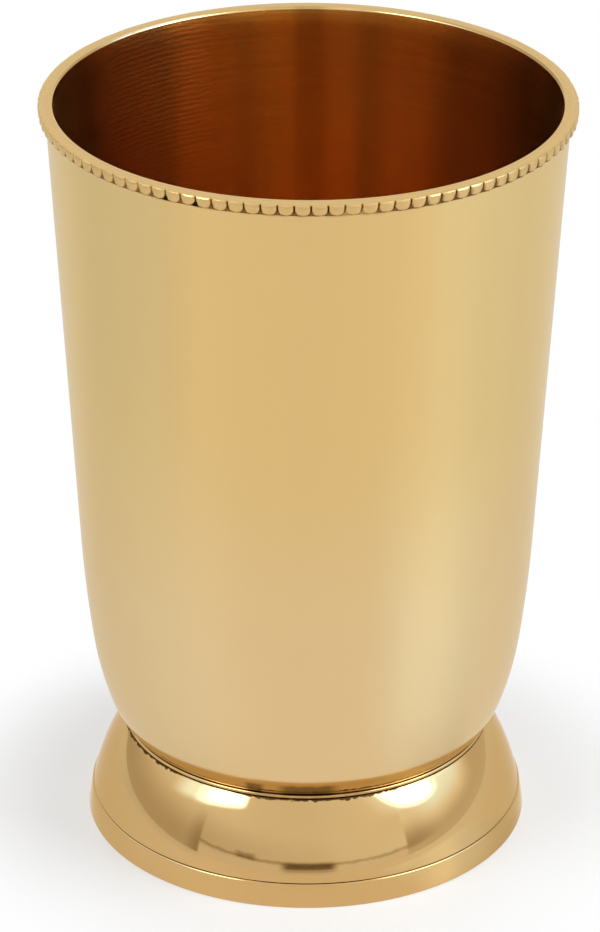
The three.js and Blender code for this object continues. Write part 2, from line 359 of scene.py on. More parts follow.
close_finish(paint, colour, roughness, height, SATIN_RELIEF, rim=SATIN_RIM)
print("satin_brass:", len(satin_brass.node_tree.nodes), "nodes")

# %% [markdown]
# ## Mirror brass for the foot, the collar and the base ring
# The foot was buffed to a mirror, so it shows the studio clearly. A mirror made by hand is never perfect:
# there are hairline circles from the buffing wheel and a slow waviness that bends straight reflections.
# Flux and old polish gather in the seam at the top of the foot, as a ragged dark line that is widest in
# front and at the left, and a little on the ledge of the base ring. The inside of the foot was never
# polished.

# %% Mirror brass
MIRROR = (0.63, 0.42, 0.18, 1.0)
MIRROR_DEEP = (0.605, 0.395, 0.155, 1.0)
MIRROR_RIM = (0.9, 0.82, 0.66, 1.0)
MIRROR_RELIEF = 0.012 * MM
UNPOLISHED = (0.45, 0.30, 0.12, 1.0)
HAIRLINE_PITCH = 0.16 * MM
HAIRLINE_REACH = 9 * MM

mirror_brass, paint = new_finish("mirror_brass")
place, x, y, z, radius = surface_place(paint)
inner = inside_mark(paint)
patches = cloud(paint, place, 14 * MM, 3.0)
wave = cloud(paint, place, 9 * MM, 1.0)
hairlines = turning_lines(paint, x, y, z - 0.6 * radius, HAIRLINE_PITCH, HAIRLINE_REACH)
ragged = cloud(paint, place, 1.1 * MM, 3.0)
grit = cloud(paint, place, 0.5 * MM, 2.0)

front = spot_at(x, 2 * MM, 14 * MM, 9 * MM) * fade(y, 0.0, -5 * MM)
amount = 0.2 + 0.8 * paint.math("MAXIMUM", front, fade(x, -18 * MM, -22 * MM))
depth = amount * (0.9 * ragged - 0.22) * MM
seam = fade(z + depth, FOOT_TOP - 0.08 * MM, FOOT_TOP + 0.08 * MM)
seam = seam * fade(z, COLLAR_BOTTOM + 0.15 * MM, COLLAR_BOTTOM - 0.05 * MM)
film = 0.5 * front * ragged * fade(z, COLLAR_BOTTOM - 0.05 * MM, COLLAR_BOTTOM)
ledge = fade(z, LEDGE - 0.03 * MM, LEDGE) * fade(z, FOOT_BOTTOM + 0.12 * MM, FOOT_BOTTOM)
dirt_and_shade = 0.97 * seam + film + 0.4 * ledge * ragged

warm = tint(paint, fade(patches, 0.35, 0.75) * 0.5, MIRROR, MIRROR_DEEP)
bare = tint(paint, inner * (0.75 + 0.25 * grit), warm, UNPOLISHED)
colour = tint(paint, dirt_and_shade, bare, TARNISH_AND_SHADE)
roughness = 0.04 + 0.04 * fade(hairlines, 0.55, 0.8) + 0.02 * patches + 0.3 * dirt_and_shade
roughness = roughness + inner * (0.3 + 0.1 * grit)
height = wave + hairlines * 0.04 + inner * grit * 1.5
close_finish(paint, colour, roughness, height, MIRROR_RELIEF, rim=MIRROR_RIM)
print("mirror_brass:", len(mirror_brass.node_tree.nodes), "nodes")

# %% [markdown]
# ## Bead brass for the rim
# A row of beads is polished only on its crowns. The grooves hold old polish and tarnish, and painted shade
# darkens them further, and that is what makes each bead stand out. How far a point lies behind the crowns
# says how dark it is, apart from the flat top of the lip, which the cloth does reach. Nothing on a used cup
# is even: the grooves at the right are darker still, which is painted shade on that side, a short run in
# front is worn nearly clean, and two gaps at the left hold a black crumb.

# %% Bead brass
GROOVE_POLISH_AND_SHADE = (0.215, 0.083, 0.013, 1.0)
GROOVE_SHADE_RIGHT = (0.11, 0.044, 0.008, 1.0)
CRUMB = (0.02, 0.01, 0.004, 1.0)

bead_brass, paint = new_finish("bead_brass")
place, x, y, z, radius = surface_place(paint)
patches = cloud(paint, place, 12 * MM, 3.0)
ragged = cloud(paint, place, 0.9 * MM, 2.0)
fine = turning_lines(paint, x, y, along_wall(z, radius), FINE_PITCH, FINE_REACH)

below_lip = fade(z, LIP_TOP - 0.1 * MM, LIP_TOP - 0.5 * MM)
front = fade(y, 0.0, -4 * MM)
# Painted shade: on the right side the grooves are made wider near the beads' lower ends, and darker.
right = fade(x, 11 * MM, 18 * MM) * front
behind = BEAD_CROWN - radius + (ragged - 0.5) * 0.22 * MM
behind = behind + 0.13 * MM * right * fade(z, BEAD_BOTTOM + 0.5 * MM, BEAD_BOTTOM + 1.1 * MM)
# Groove darkness: partly old polish in the grooves, partly painted shade.
groove = fade(behind, 0.12 * MM, 0.4 * MM) * below_lip
groove = groove * (1 - 0.5 * spot_at(x, 6.9 * MM, 3.4 * MM, 1.6 * MM))
crumbs = spot_at(x, -20.6 * MM, 1.3 * MM, 0.6 * MM) + spot_at(x, -16.1 * MM, 1.1 * MM, 0.5 * MM)
crumbs = crumbs * front * fade(behind, 0.1 * MM, 0.3 * MM)
crumbs = crumbs * fade(z, BEAD_BOTTOM + 1.3 * MM, BEAD_BOTTOM + 0.7 * MM)

warm = tint(paint, 0.45 + 0.12 * patches + 0.195 * fade(z, LIP_EDGE, LIP_FULL), SATIN, SATIN_DEEP)
groove_polish_and_shade = tint(paint, right, GROOVE_POLISH_AND_SHADE, GROOVE_SHADE_RIGHT)
colour = tint(paint, 0.88 * groove, warm, groove_polish_and_shade)
colour = tint(paint, crumbs, colour, CRUMB)
roughness = 0.25 + 0.06 * patches + 0.25 * groove
height = fine * 0.5 + 3 * ragged * below_lip
close_finish(paint, colour, roughness, height, SATIN_RELIEF, rim=SATIN_RIM)
print("bead_brass:", len(bead_brass.node_tree.nodes), "nodes")

# %% [markdown]
# ## Brazing metal
# The fillet under the bowl is a run of brazing metal that froze where it flowed: duller than brass,
# a little grey, lumpy, with scorched flux on it.

# %% Brazing metal
BRAZE = (0.46, 0.33, 0.14, 1.0)
SCORCHED = (0.16, 0.10, 0.05, 1.0)
BRAZE_RELIEF = 0.15 * MM

braze_metal, paint = new_finish("braze_metal")
place = surface_place(paint)[0]
lumps = cloud(paint, place, 2.2 * MM, 3.0)
scorch = fade(cloud(paint, place, 5 * MM, 4.0), 0.42, 0.7)
colour = tint(paint, scorch, BRAZE, SCORCHED)
close_finish(paint, colour, 0.42 + 0.25 * lumps, lumps, BRAZE_RELIEF)
print("braze_metal:", len(braze_metal.node_tree.nodes), "nodes")

# %% [markdown]
# ## A lathe in Geometry Nodes
# Five of the six pieces are turned: one outline, spun round the axis. The Screw modifier could do it, but
# as a node tree the rule is in plain sight: a grid has one row for each point of the outline and one column
# for each step round, and every grid point looks up its radius and height in the outline. Merging what
# coincides closes the seam, the poles and a closed outline.


# %% The lathe tree
WELD = 0.002 * MM


def new_tree(name, inputs):
    """A Geometry Nodes tree that takes geometry and the named inputs, and gives geometry."""
    tree = bpy.data.node_groups.new(name, "GeometryNodeTree")
    tree.interface.new_socket("Geometry", in_out="INPUT", socket_type="NodeSocketGeometry")
    for label, kind in inputs.items():
        tree.interface.new_socket(label, in_out="INPUT", socket_type="NodeSocket" + kind)
    tree.interface.new_socket("Geometry", in_out="OUTPUT", socket_type="NodeSocketGeometry")
    return tree


def make_lathe():
    tree = new_tree("lathe", {"Steps round": "Int", "Finish": "Material"})
    make = Wire(tree)
    outline = make.node("NodeGroupInput")
    steps = outline.out("Steps round")
    settings = {"component": "MESH"}
    points = make.node("GeometryNodeAttributeDomainSize", settings, {"Geometry": outline}, "Point Count")
    sides = {"Size X": 1.0, "Size Y": 1.0, "Vertices X": points, "Vertices Y": steps + 1}
    grid = make.node("GeometryNodeMeshGrid", sockets=sides)

    place = make.node("GeometryNodeInputPosition")
    across = make.node("ShaderNodeSeparateXYZ", sockets={0: place})
    row = (across + 0.5) * (points - 1) + 0.5
    angle = (across.out("Y") + 0.5) * math.tau
    looked_up = {"Geometry": outline, "Value": place, "Index": row}
    spot = make.node("GeometryNodeSampleIndex", {"data_type": "FLOAT_VECTOR"}, looked_up)
    radius = make.node("ShaderNodeSeparateXYZ", sockets={0: spot})
    sideways = radius * make.math("SINE", angle)
    away = -1 * radius * make.math("COSINE", angle)
    target = make.node("ShaderNodeCombineXYZ", sockets={0: sideways, 1: away, 2: radius.out("Z")})

    side = make.node("GeometryNodeInputNamedAttribute", {"data_type": "FLOAT"}, {"Name": "inner"})
    looked_up = {"Geometry": outline, "Value": side, "Index": row}
    inner = make.node("GeometryNodeSampleIndex", {"data_type": "FLOAT"}, looked_up)
    kept = {"Geometry": grid, "Name": "inner", "Value": inner}
    marked = make.node("GeometryNodeStoreNamedAttribute", {"data_type": "FLOAT", "domain": "POINT"}, kept)

    spun = make.node("GeometryNodeSetPosition", sockets={"Geometry": marked, "Position": target})
    closed = make.node("GeometryNodeMergeByDistance", sockets={"Geometry": spun, "Distance": WELD})
    smooth = make.node("GeometryNodeSetShadeSmooth", sockets={"Geometry": closed, "Shade Smooth": True})
    real = make.node("GeometryNodeRealizeInstances", sockets={"Geometry": smooth})
    dressed = {"Geometry": real, "Material": outline.out("Finish")}
    done = make.node("GeometryNodeSetMaterial", sockets=dressed)
    make.node("NodeGroupOutput", sockets={"Geometry": done})
    return tree


LATHE = make_lathe()
print("lathe tree:", len(LATHE.nodes), "nodes")

# %% [markdown]
# ## From outline to piece
# An outline is a chain of edges in the XZ plane, with X as the radius. A modifier's inputs are set by the
# socket's identifier, and the result is then made a plain mesh, so that nothing depends on the modifier.
# Recalculating the normals makes every face point out of the metal, and edges sharper than 40 degrees
# stay sharp.

# %% Turn a piece
SHARP_EDGE = math.radians(40)


def run_tree(piece, tree, **inputs):
    """Runs a node tree on a piece and keeps the result as a plain mesh."""
    modifier = piece.modifiers.new(tree.name, "NODES")
    modifier.node_group = tree
    for socket in tree.interface.items_tree:
        label = socket.name.lower().replace(" ", "_")
        if socket.in_out == "INPUT" and label in inputs:
            modifier[socket.identifier] = inputs[label]
    seen = piece.evaluated_get(bpy.context.evaluated_depsgraph_get())
    mesh = bpy.data.meshes.new_from_object(seen)
    piece.modifiers.clear()
    piece.data = mesh
    work = bmesh.new()
    work.from_mesh(mesh)
    bmesh.ops.recalc_face_normals(work, faces=work.faces)
    work.to_mesh(mesh)
    work.free()
    mesh.set_sharp_from_angle(angle=SHARP_EDGE)
    mesh.name = piece.name
    size = [round(1000 * side, 2) for side in piece.dimensions]
    print(piece.name + ":", len(mesh.polygons), "faces,", size, "mm")
    return piece


def turn(name, outline, finish, steps=256):
    """Spins (radius, height, inner) points round Z. The inner mark is 1 on an inside, 0 outside."""
    mesh = bpy.data.meshes.new(name + "_outline")
    chain = [(n, n + 1) for n in range(len(outline) - 1)]
    mesh.from_pydata([(r, 0.0, h) for r, h, inner in outline], chain, [])
    marks = mesh.attributes.new("inner", "FLOAT", "POINT")
    marks.data.foreach_set("value", [float(inner) for r, h, inner in outline])
    piece = bpy.data.objects.new(name, mesh)
    bpy.context.scene.collection.objects.link(piece)
    return run_tree(piece, LATHE, steps_round=steps, finish=finish)


print("turning ready")

# %% [markdown]
# ## Curves for outlines
# A few helpers draw every outline as a chain of points. One rounds off corners, as a file or a cloth does
# on every real edge. One divides a straight wall. One is an arc on which the wall leans in more and more,
# one is the arc of a set radius between two points, and one is a smooth bend towards a corner.


# %% Outline helpers
def rounded(corners, inner=0, steps=5):
    """A chain of (radius, height, rounding) corners with each inner corner made a smooth bend."""
    chain = []
    for n, (r, h, rounding) in enumerate(corners):
        here = Vector((r, h))
        if rounding == 0 or n == 0 or n == len(corners) - 1:
            chain.append((r, h, inner))
            continue
        before = (Vector(corners[n - 1][:2]) - here).normalized()
        after = (Vector(corners[n + 1][:2]) - here).normalized()
        opening = before.angle(after)
        cut = rounding / math.tan(opening / 2)
        centre = here + (before + after).normalized() * rounding / math.sin(opening / 2)
        start = here + before * cut - centre
        end = here + after * cut - centre
        for k in range(steps + 1):
            spoke = start.slerp(end, k / steps) * rounding
            chain.append((centre.x + spoke.x, centre.y + spoke.y, inner))
    return chain


def straight(start, end, steps, inner=0):
    """The points that divide a straight wall into steps, without its two ends."""
    chain = []
    for k in range(1, steps):
        r = start[0] + (end[0] - start[0]) * k / steps
        h = start[1] + (end[1] - start[1]) * k / steps
        chain.append((r, h, inner))
    return chain


def leaning_arc(start, radius, lean_from, lean_to, steps, inner=0):
    """Down the outside of a cup: the wall's lean grows from one angle to another."""
    r, h = start
    centre_r = r - radius * math.cos(lean_from)
    centre_h = h + radius * math.sin(lean_from)
    chain = []
    for k in range(steps + 1):
        lean = lean_from + (lean_to - lean_from) * k / steps
        chain.append((centre_r + radius * math.cos(lean), centre_h - radius * math.sin(lean), inner))
    return chain


def bulge(start, end, radius, steps, inner=0):
    """The arc of a set radius between two points, with its centre on the axis side."""
    a, b = Vector(start), Vector(end)
    chord = b - a
    towards = Vector((chord.y, -chord.x)).normalized()
    if towards.x > 0:
        towards = -towards
    centre = (a + b) / 2 + towards * math.sqrt(radius**2 - chord.length_squared / 4)
    chain = []
    for k in range(steps + 1):
        spoke = (a - centre).slerp(b - centre, k / steps) * radius
        chain.append((centre.x + spoke.x, centre.y + spoke.y, inner))
    return chain


def bend(start, corner, end, steps, inner=0):
    """A smooth curve from start to end that leaves and arrives along the lines to the corner."""
    a, b, c = Vector(start), Vector(corner), Vector(end)
    chain = []
    for k in range(steps + 1):
        t = k / steps
        spot = a * (1 - t) ** 2 + b * 2 * t * (1 - t) + c * t**2
        chain.append((spot.x, spot.y, inner))
    return chain


print("outline helpers ready")

# %% [markdown]
# ## The bowl
# The cup's wall tapers down from the lip in a straight line, swells into a gentle belly and tucks in, more
# and more, to the neck. Under the neck a short register drops into the foot, where nobody sees it. A turner
# would cut all of it in one go from a template, so it is one outline here too. It runs from the underside
# up the outside, over the lip and down the inside to the round bottom.

# %% The curve of the bowl
TAPER = math.radians(3.37)
TUCK_START = math.radians(8)
TUCK_RISE = 9.7 * MM
TUCK_RADIUS = 49 * MM
NECK_ROUND_RISE = 4.3 * MM
NECK_ROUND_RADIUS = 12.8 * MM
BELLY_RISE = 16.6 * MM
BEAD_PROUD = 1 * MM

neck_edge = COLLAR_TOP + SEAM
wall_end = neck_edge + NECK_ROUND_RISE + TUCK_RISE + BELLY_RISE
wall_lip = BEAD_CROWN - BEAD_PROUD
wall_end_radius = wall_lip - math.tan(TAPER) * (LIP_TOP - wall_end)
belly_radius = BELLY_RISE / (math.sin(TUCK_START) - math.sin(TAPER))
belly = leaning_arc((wall_end_radius, wall_end), belly_radius, TAPER, TUCK_START, steps=20)
tuck_lean = math.asin(math.sin(TUCK_START) + TUCK_RISE / TUCK_RADIUS)
tuck = leaning_arc(belly[-1][:2], TUCK_RADIUS, TUCK_START, tuck_lean, steps=18)
neck_lean = math.asin(math.sin(tuck_lean) + NECK_ROUND_RISE / NECK_ROUND_RADIUS)
neck_round = leaning_arc(tuck[-1][:2], NECK_ROUND_RADIUS, tuck_lean, neck_lean, steps=18)
neck_radius = neck_round[-1][0]
print("bowl radius in mm: lip", round(wall_lip / MM, 2), "neck", round(neck_radius / MM, 2))

# %% [markdown]
# The neck has a shoulder that lies on the collar and, inside it, the register: a plug that centres the bowl
# in its foot. The underside curves into the register, because it is turned with a round-nosed tool. The
# edge of the shoulder is only broken, so that the seam stays a crisp line.

# %% Underside and neck of the bowl
EDGE_ROUND = 0.12 * MM
SHOULDER_INSET = 0.1 * MM
REGISTER_STEP = 2.1 * MM
REGISTER_DROP = 3.4 * MM
UNDERSIDE_BEND = 7.9 * MM

shoulder = COLLAR_RADIUS - SHOULDER_INSET
register = shoulder - REGISTER_STEP
register_end = (register, FOOT_TOP - REGISTER_DROP)
underside = height_span("bowl")[0]
below = bend((register - UNDERSIDE_BEND, underside), (register, underside), register_end, steps=10)
step_corners = [
    register_end + (0,),
    (register, neck_edge, 0),
    (neck_radius, neck_edge, EDGE_ROUND),
    neck_round[-3],
]
step = rounded(step_corners)
print("register radius in mm:", round(register / MM, 2))

# %% [markdown]
# Under the lip a shallow seat is cut for the beads. The lip is rounded towards the inside, where it meets
# the drinker's mouth, and from there on the outline is marked as inside, for the finish. The inner wall
# runs parallel to the outer one, and one smooth bend makes the round bottom. The straight walls are divided
# into steps, so that their faces aren't too long and thin.

# %% Lip and inside of the bowl, then turn it
WALL = 1.22 * MM
BEAD_SEAT = 0.25 * MM
LIP_ROUND = 0.4 * MM
INSIDE_FROM = 0.9 * MM
FLOOR_THICKNESS = 2.2 * MM
FLOOR_FLAT = 14 * MM
WALL_STEPS = 24

floor = underside + FLOOR_THICKNESS
seat_wall = wall_lip - math.tan(TAPER) * (LIP_TOP - BEAD_BOTTOM)
lip_inside = wall_lip - WALL / math.cos(TAPER)
inside_end = wall_end_radius - WALL / math.cos(TAPER)
inside_corner = inside_end - math.tan(TAPER) * (wall_end - floor)
lip_corners = [
    (seat_wall, BEAD_BOTTOM, 0),
    (wall_lip - BEAD_SEAT, BEAD_BOTTOM, 0),
    (wall_lip - BEAD_SEAT, LIP_TOP, 0),
    (lip_inside + 1.15 * LIP_ROUND, LIP_TOP, 0),
    (lip_inside, LIP_TOP, LIP_ROUND),
    (inside_end, wall_end, 0),
]
lip = rounded(lip_corners)[:-1]
lip = [(r, h, 1 if r < wall_lip - INSIDE_FROM else 0) for r, h, inner in lip]
wall_outside = straight((wall_end_radius, wall_end), (seat_wall, BEAD_BOTTOM), WALL_STEPS)
wall_inside = straight((lip_inside, LIP_TOP), (inside_end, wall_end), WALL_STEPS, inner=1)
hollow = bend((inside_end, wall_end), (inside_corner, floor), (FLOOR_FLAT, floor), steps=40, inner=1)

bowl_outline = [(0, underside, 0)] + below + step[1:-1] + neck_round[-3:0:-1] + tuck[:0:-1] + belly[::-1]
bowl_outline += wall_outside + lip + wall_inside + hollow + [(FLOOR_FLAT / 2, floor, 1), (0, floor, 1)]
bowl = turn("bowl_turned", bowl_outline, satin_brass)
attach(bowl, "root")
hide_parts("bowl")

# %% [markdown]
# ## The beaded rim
# A bead strip is rolled between shaped wheels, so its beads are alike but never quite equal. Each bead is
# a small tongue with a flat face, a round lower end and a narrow groove on either side. The groove runs out
# towards the lip. Sculpting one would be quick, but a formula keeps the bead's sizes in sight: one pitch of
# the strip is a ring of points at seven places along it.

# %% One bead of the strip
BEADS = 104
BEAD_HEIGHT = LIP_TOP - BEAD_BOTTOM
GROOVE_DEPTH = 0.6 * MM
ROUND_END = 1.1 * MM
TOP_EDGE = 0.42 * MM
TOP_FLAT = 0.06 * MM
LOW_FLATNESS, TOP_FLATNESS = 2.6, 4.6
RUN_OUT = 0.5


def bead_radius(across, level):
    """The strip's radius at a place across a bead, from groove 0 to groove 1, and a level on it."""
    side = abs(2 * across - 1)
    end = max(0.0, 1 - level / ROUND_END)
    spread = min(1.0, math.hypot(side, end))
    rise = level / BEAD_HEIGHT
    flatness = LOW_FLATNESS + (TOP_FLATNESS - LOW_FLATNESS) * rise
    shallow = max(0.0, (rise - RUN_OUT) / (1 - RUN_OUT))
    sink = GROOVE_DEPTH * (1 - (1 - spread**flatness) ** (1 / flatness)) * (1 - shallow**2)
    over = max(0.0, 1 - (BEAD_HEIGHT - level) / TOP_EDGE)
    edge = TOP_EDGE * (1 - math.sqrt(max(0.0, 1 - over**2)))
    return BEAD_CROWN - sink - edge


ACROSS = (0, 0.07, 0.22, 0.5, 0.78, 0.93, 1)
LEVELS = [BEAD_HEIGHT * part for part in (0, 0.05, 0.14, 0.3, 0.55, 0.8, 0.93, 1)]
bore = wall_lip - BEAD_SEAT
rings = []
for across in ACROSS:
    angle = math.tau / BEADS * across
    ring = [(bore, BEAD_BOTTOM)] + [(bead_radius(across, v), BEAD_BOTTOM + v) for v in LEVELS]
    ring += [(ring[-1][0] - TOP_FLAT, LIP_TOP), (bore, LIP_TOP)]
    rings.append([(r * math.sin(angle), -r * math.cos(angle), h) for r, h in ring])
count = len(rings[0])
faces = [
    (n * count + k, n * count + (k + 1) % count, (n + 1) * count + (k + 1) % count, (n + 1) * count + k)
    for n in range(len(ACROSS) - 1)
    for k in range(count)
]
bead_mesh = bpy.data.meshes.new("one_bead")
bead_mesh.from_pydata([spot for ring in rings for spot in ring], [], faces)
print("one bead:", len(faces), "faces")

# %% [markdown]
# Geometry Nodes copy the bead round the lip, as the rolling wheel does, and weld the copies into one strip.
# Then a little noise pushes the points about, because a rolled strip is never quite even. The points on top
# stay where they are, so the strip stays flush with the lip.

# %% The bead strip tree
WOBBLE = 2.6 * MM
EVEN_FROM = LIP_TOP - 0.1 * MM


def make_bead_strip():
    inputs = {"Beads": "Int", "First groove": "Float", "Unevenness": "Float", "Seed": "Float"}
    tree = new_tree("bead_strip", inputs | {"Finish": "Material"})
    make = Wire(tree)
    bead = make.node("NodeGroupInput")
    beads = bead.out("Beads")
    one = make.node("GeometryNodeGeometryToInstance", sockets={"Geometry": bead})
    copies = {"Geometry": one, "Amount": beads}
    many = make.node("GeometryNodeDuplicateElements", {"domain": "INSTANCE"}, copies)
    turn_to = many.out("Duplicate Index") * (math.tau / beads) + bead.out("First groove")
    angles = make.node("ShaderNodeCombineXYZ", sockets={2: turn_to})
    placed = {"Instances": many, "Rotation": angles, "Pivot Point": (0.0, 0.0, 0.0), "Local Space": False}
    ring = make.node("GeometryNodeRotateInstances", sockets=placed)
    real = make.node("GeometryNodeRealizeInstances", sockets={"Geometry": ring})
    welded = make.node("GeometryNodeMergeByDistance", sockets={"Geometry": real, "Distance": 2 * WELD})

    place = make.node("GeometryNodeInputPosition")
    wobble = {"Vector": place, "W": bead.out("Seed"), "Scale": 1 / WOBBLE, "Detail": 1.0}
    noise = make.node("ShaderNodeTexNoise", {"noise_dimensions": "4D"}, wobble, output="Color")
    centred = make.node("ShaderNodeVectorMath", {"operation": "SUBTRACT"}, {0: noise, 1: (0.5, 0.5, 0.5)})
    amount = {0: centred, "Scale": bead.out("Unevenness")}
    push = make.node("ShaderNodeVectorMath", {"operation": "SCALE"}, amount)
    height = make.node("ShaderNodeSeparateXYZ", sockets={0: place}, output="Z")
    below_lip = make.math("LESS_THAN", height, EVEN_FROM)
    moved = {"Geometry": welded, "Selection": below_lip, "Offset": push}
    uneven = make.node("GeometryNodeSetPosition", sockets=moved)
    smooth = make.node("GeometryNodeSetShadeSmooth", sockets={"Geometry": uneven, "Shade Smooth": True})
    dressed = {"Geometry": smooth, "Material": bead.out("Finish")}
    done = make.node("GeometryNodeSetMaterial", sockets=dressed)
    make.node("NodeGroupOutput", sockets={"Geometry": done})
    return tree


BEAD_STRIP = make_bead_strip()
print("bead strip tree:", len(BEAD_STRIP.nodes), "nodes")

# %% Roll the bead strip
rim = bpy.data.objects.new("rim_beads", bead_mesh)
bpy.context.scene.collection.objects.link(rim)
run_tree(
    rim,
    BEAD_STRIP,
    beads=BEADS,
    first_groove=math.radians(0.58),
    unevenness=0.16 * MM,
    seed=4.0,
    finish=bead_brass,
)
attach(rim, "root")
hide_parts("beaded_rim")

# %% [markdown]
# ## The neck collar
# A thin ring of half-round wire fills the seam between the bowl and the foot. It is only six tenths of a
# millimetre high, but it gives the bright line in the dark crease.

# %% Turn the collar
collar_bore = register + SEAM
wire_round = 0.96 * (COLLAR_TOP - COLLAR_BOTTOM) / 2
collar_outline = rounded(
    [
        (collar_bore, COLLAR_BOTTOM, 0),
        (COLLAR_RADIUS, COLLAR_BOTTOM, wire_round),
        (COLLAR_RADIUS, COLLAR_TOP, wire_round),
        (collar_bore, COLLAR_TOP, 0),
        (collar_bore, COLLAR_BOTTOM, 0),
    ]
)
collar = turn("collar_ring", collar_outline, mirror_brass)
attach(collar, "root")
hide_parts("neck_collar")

# %% [markdown]
# ## The foot
# The foot is spun from sheet into a shallow dome, hollow underneath. The outside is one arc. The inside
# follows it a wall's thickness away, so it is the same chain moved along its own normals. The lower edge is
# turned out straight inside, as a seat for the ring that the foot stands on.


# %% Turn the foot
def moved_in(chain, distance, inner=1):
    """A chain at a distance on the axis side of another one that runs upwards."""
    moved = []
    for n, (r, h, mark) in enumerate(chain):
        before, after = chain[max(n - 1, 0)], chain[min(n + 1, len(chain) - 1)]
        along = Vector((after[0] - before[0], after[1] - before[1])).normalized()
        moved.append((r - along.y * distance, h + along.x * distance, inner))
    return moved


BAND_TAPER = 0.62 * MM
LEDGE_WIDTH = 0.2 * MM
DOME_RADIUS = 34 * MM
FOOT_WALL = 1.3 * MM
BORE_DEPTH = 1.6 * MM
BRAZE_ROOM = 0.85 * MM

skirt = BASE_RADIUS - BAND_TAPER - LEDGE_WIDTH
bore_bottom = FOOT_TOP - BORE_DEPTH
room = collar_bore + BRAZE_ROOM
outside = bulge((skirt, FOOT_BOTTOM), (shoulder, FOOT_TOP), DOME_RADIUS, steps=48)
under = [spot for spot in moved_in(outside, FOOT_WALL) if SPIGOT_TOP + SEAM < spot[1] < bore_bottom]
seat = under[0][0]
under = [(seat, FOOT_BOTTOM, 1)] + [(max(r, room), h, inner) for r, h, inner in under]
foot_top = rounded([outside[-3], (shoulder, FOOT_TOP, EDGE_ROUND), (collar_bore, FOOT_TOP, 0)])[1:]
foot_outline = [(seat, FOOT_BOTTOM, 1)] + outside[:-2] + foot_top
foot_outline += [(collar_bore, bore_bottom, 1), (room, bore_bottom, 1)] + under[::-1]
foot = turn("foot_dome", foot_outline, mirror_brass)
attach(foot, "root")
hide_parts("foot")

# %% [markdown]
# ## The base ring
# A band carries the foot and meets the table. Its side tapers a little, widest at the table, and a spigot
# stands inside the foot to centre it. The outer edges are just broken with a file, so a thin bright line
# runs along the step.

# %% Turn the base ring
SPIGOT_WALL = 1 * MM
BOTTOM_EDGE, LEDGE_EDGE = 0.15 * MM, 0.28 * MM
SPIGOT_EDGE, SPIGOT_INNER_EDGE = 0.1 * MM, 0.2 * MM
INSIDE_STEP, ABOVE_TABLE = 0.3 * MM, 0.05 * MM

spigot = seat - SEAM
base_inside = spigot - SPIGOT_WALL
base_outline = rounded(
    [
        (base_inside, 0.0, 0),
        (BASE_RADIUS, 0.0, BOTTOM_EDGE),
        (BASE_RADIUS - BAND_TAPER, LEDGE, LEDGE_EDGE),
        (spigot, LEDGE, 0),
        (spigot, SPIGOT_TOP, SPIGOT_EDGE),
        (base_inside, SPIGOT_TOP, SPIGOT_INNER_EDGE),
        (base_inside, 0.0, 0),
    ]
)
inside = skirt - INSIDE_STEP
base_outline = [(r, h, 1 if r < inside and h > ABOVE_TABLE else 0) for r, h, inner in base_outline]
base = turn("base_band", base_outline, mirror_brass)
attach(base, "root")
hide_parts("base_ring")

# %% [markdown]
# ## The braze fillet
# Inside the foot a hollow fillet of brazing metal holds the bowl's register. It is hidden from above and
# shows when the tumbler is turned over.

# %% Turn the braze fillet
HOLLOW_WIDTH, HOLLOW_DROP = 0.2 * MM, 0.3 * MM

fillet_width = widest("neck_braze")
fillet = bend(
    (collar_bore, BRAZE_BOTTOM),
    (collar_bore + HOLLOW_WIDTH, BRAZE_TOP - HOLLOW_DROP),
    (fillet_width, BRAZE_TOP),
    steps=10,
)
fillet += [(collar_bore, BRAZE_TOP, 0), (collar_bore, BRAZE_BOTTOM, 0)]
braze = turn("braze_fillet", fillet, braze_metal, steps=192)
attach(braze, "root")
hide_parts("neck_braze")

# %% [markdown]
# ## The table and the white room
# Metal has no colour of its own to show: it shows its surroundings, tinted. So the room matters as much as
# the finish. The cup stands on a white, slightly glossy table in a white room. For the camera and for
# reflections the room is plain white at strength 1. As a light it is dimmer, so that the lamps make the
# shadow. The table keeps part of its own shading, so the shadow of the cup stays on it.
#
# The bowl mirrors the table: its lower half shows the part near the foot, its upper half the part farther
# out. So the table has soft differences that only reflections see. In front it is a little cream, as under
# a warm ceiling, far out at the sides it is a little dimmer, and one patch near the foot shows how the
# right lamp lights it. Each is a rule on the angle round the cup and on the distance from its axis.


# %% White table
TABLE_PAINT = (0.845, 0.875, 0.92, 1.0)
CREAM = (1.0, 0.888, 0.78, 1.0)
BLACK = (0.0, 0.0, 0.0, 1.0)
TABLE_HALF = 3.0
TABLE_GLOW = 0.72
FAR_FROM, FAR_FULL = 105 * MM, 165 * MM


def seen_directly(paint):
    """Three masks: rays from the camera, reflections, and rays through glass."""
    rays = paint.node("ShaderNodeLightPath", output="Is Camera Ray")
    return rays, rays.out("Is Glossy Ray"), rays.out("Is Transmission Ray")


def angle_round(paint, x, y):
    """Degrees round the cup, 0 in front and positive to the right."""
    return paint.math("ARCTAN2", x, -1 * y) * (180 / math.pi)


table_white, paint = new_finish("table_white")
camera_ray, glossy_ray, glass_ray = seen_directly(paint)
place, x, y, z, radius = surface_place(paint)
angle = angle_round(paint, x, y)
far = fade(radius, FAR_FROM, FAR_FULL)

